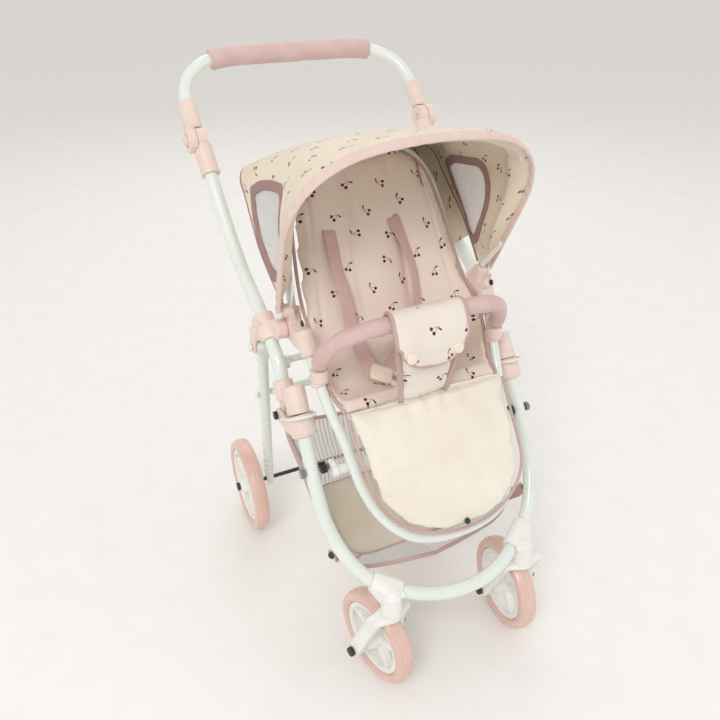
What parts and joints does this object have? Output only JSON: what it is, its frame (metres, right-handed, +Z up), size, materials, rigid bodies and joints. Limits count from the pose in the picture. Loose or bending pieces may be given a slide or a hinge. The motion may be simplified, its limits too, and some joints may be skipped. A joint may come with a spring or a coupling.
{
  "type": "doll stroller",
  "caption": "Folding toy doll stroller with swivelling front casters, tilting fabric seat with bumper bar, hooded canopy and an under-seat basket.",
  "frame": {"origin": "on the floor, on the centre line, between the front and rear wheels", "axes": "+X right as seen from the front, +Y towards the push handle, +Z up; the footrest and casters face -Y"},
  "size_m": [0.357, 0.5439, 0.6651],
  "materials": {
    "frame_paint": "gloss, very pale grey-green paint on steel tube",
    "pink_plastic": "satin, pale peach-pink moulding",
    "white_plastic": "satin off-white moulding",
    "black_steel": "blackened hardware",
    "bright_steel": "plated hardware",
    "tyre": "glossy peach-pink foam rubber",
    "print_fabric": "cream cotton with a small fruit print",
    "cream_fabric": "plain cream cotton",
    "foam": "dusty pink foam grip"
  },
  "bodies": {
    "front_frame": {"front_tube": "frame_paint", "fold_lower_R": "pink_plastic", "fold_lower_L": "pink_plastic", "fold_bolt_R": "black_steel", "fold_bolt_L": "black_steel", "caster_bracket_R": "white_plastic", "caster_bracket_L": "white_plastic", "side_bolt_R": "bright_steel", "side_bolt_L": "bright_steel", "torsion_spring_R": "black_steel", "torsion_spring_L": "black_steel", "basket": "print_fabric"},
    "cross_bar": {"cross_bar": "white_plastic"},
    "caster_R": {"fork_R": "white_plastic", "front_axle_R": "bright_steel"},
    "caster_L": {"fork_L": "white_plastic", "front_axle_L": "bright_steel"},
    "front_wheel_R": {"front_tyre_R": "tyre", "front_rim_R": "white_plastic"},
    "front_wheel_L": {"front_tyre_L": "tyre", "front_rim_L": "white_plastic"},
    "push_frame": {"push_tube_R": "frame_paint", "push_tube_L": "frame_paint", "fold_upper_R": "pink_plastic", "fold_upper_L": "pink_plastic", "push_bracket_R": "pink_plastic", "push_bracket_L": "pink_plastic", "upper_cross_bar": "frame_paint", "knuckle_lower_R": "pink_plastic", "knuckle_lower_L": "pink_plastic"},
    "rear_legs": {"rear_leg_R": "frame_paint", "rear_leg_L": "frame_paint", "leg_cross_bar": "frame_paint", "rear_axle": "bright_steel"},
    "rear_wheel_R": {"rear_tyre_R": "tyre", "rear_rim_R": "white_plastic"},
    "rear_wheel_L": {"rear_tyre_L": "tyre", "rear_rim_L": "white_plastic"},
    "handle": {"handle_tube": "frame_paint", "handle_grip": "foam", "knuckle_upper_R": "pink_plastic", "knuckle_upper_L": "pink_plastic"},
    "button_R": {"knuckle_button_R": "pink_plastic"},
    "button_L": {"knuckle_button_L": "pink_plastic"},
    "seat": {"seat_hub_R": "pink_plastic", "seat_hub_L": "pink_plastic", "seat_leg_tube": "frame_paint", "seat_back_tube": "frame_paint", "seat_liner": "print_fabric", "foot_panel": "cream_fabric", "bumper_bar": "foam", "bumper_socket_R": "pink_plastic", "bumper_socket_L": "pink_plastic", "crotch_panel": "cream_fabric", "canopy_rear": "print_fabric"},
    "canopy": {"canopy_front": "print_fabric", "canopy_bow": "white_plastic"},
    "lock_wire_R": {"lock_wire_R": "frame_paint"},
    "lock_wire_L": {"lock_wire_L": "frame_paint"}
  },
  "joints": [
    {"name": "cross_bar_swing", "type": "hinge", "parent": "front_frame", "child": "cross_bar", "pos_m": [0, -0.0675, 0.274], "axis": [1, 0, 0], "range_deg": [0, 20], "stiffness_Nm_per_rad": 0.08, "springref_deg": -34.38},
    {"name": "caster_swivel_R", "type": "hinge", "parent": "front_frame", "child": "caster_R", "pos_m": [0.09, -0.171, 0.129], "axis": [0, 0, 1], "continuous": true},
    {"name": "front_wheel_R_spin", "type": "hinge", "parent": "caster_R", "child": "front_wheel_R", "pos_m": [0.09163, -0.14505, 0.06], "axis": [0.998, -0.0628, 0], "continuous": true},
    {"name": "caster_swivel_L", "type": "hinge", "parent": "front_frame", "child": "caster_L", "pos_m": [-0.09, -0.171, 0.129], "axis": [0, 0, 1], "continuous": true},
    {"name": "front_wheel_L_spin", "type": "hinge", "parent": "caster_L", "child": "front_wheel_L", "pos_m": [-0.09558, -0.14561, 0.06], "axis": [0.9767, 0.2147, 0], "continuous": true},
    {"name": "frame_fold", "type": "hinge", "parent": "front_frame", "child": "push_frame", "pos_m": [0, 0.008, 0.305], "axis": [-1, 0, 0], "range_deg": [0, 75]},
    {"name": "rear_leg_fold", "type": "hinge", "parent": "push_frame", "child": "rear_legs", "pos_m": [0, 0.05, 0.378], "axis": [-1, 0, 0], "range_deg": [-75, 0]},
    {"name": "handle_angle", "type": "hinge", "parent": "push_frame", "child": "handle", "pos_m": [0, 0.237, 0.571], "axis": [1, 0, 0], "range_deg": [-35, 35]},
    {"name": "seat_tilt", "type": "hinge", "parent": "push_frame", "child": "seat", "pos_m": [0, 0.031, 0.405], "axis": [-1, 0, 0], "range_deg": [0, 25]},
    {"name": "canopy_fold", "type": "hinge", "parent": "seat", "child": "canopy", "pos_m": [0, 0.024, 0.43], "axis": [-1, 0, 0], "range_deg": [0, 43]},
    {"name": "rear_wheel_R_spin", "type": "hinge", "parent": "rear_legs", "child": "rear_wheel_R", "pos_m": [0.159, 0.17, 0.07], "axis": [1, 0, 0], "continuous": true},
    {"name": "handle_button_R", "type": "slide", "parent": "handle", "child": "button_R", "axis": [-1, 0, 0], "range_m": [0, 0.002], "stiffness_N_per_m": 400, "springref_m": -0.002},
    {"name": "lock_wire_R_lift", "type": "hinge", "parent": "front_frame", "child": "lock_wire_R", "pos_m": [0.139, -0.014, 0.314], "axis": [1, 0, 0], "range_deg": [-30, 0]},
    {"name": "rear_wheel_L_spin", "type": "hinge", "parent": "rear_legs", "child": "rear_wheel_L", "pos_m": [-0.159, 0.17, 0.07], "axis": [1, 0, 0], "continuous": true},
    {"name": "handle_button_L", "type": "slide", "parent": "handle", "child": "button_L", "axis": [1, 0, 0], "range_m": [0, 0.002], "stiffness_N_per_m": 400, "springref_m": -0.002},
    {"name": "lock_wire_L_lift", "type": "hinge", "parent": "front_frame", "child": "lock_wire_L", "pos_m": [-0.139, -0.014, 0.314], "axis": [1, 0, 0], "range_deg": [-30, 0]}
  ],
  "couplings": [
    {"joint": "rear_leg_fold", "follows": "frame_fold", "ratio": -1}
  ]
}
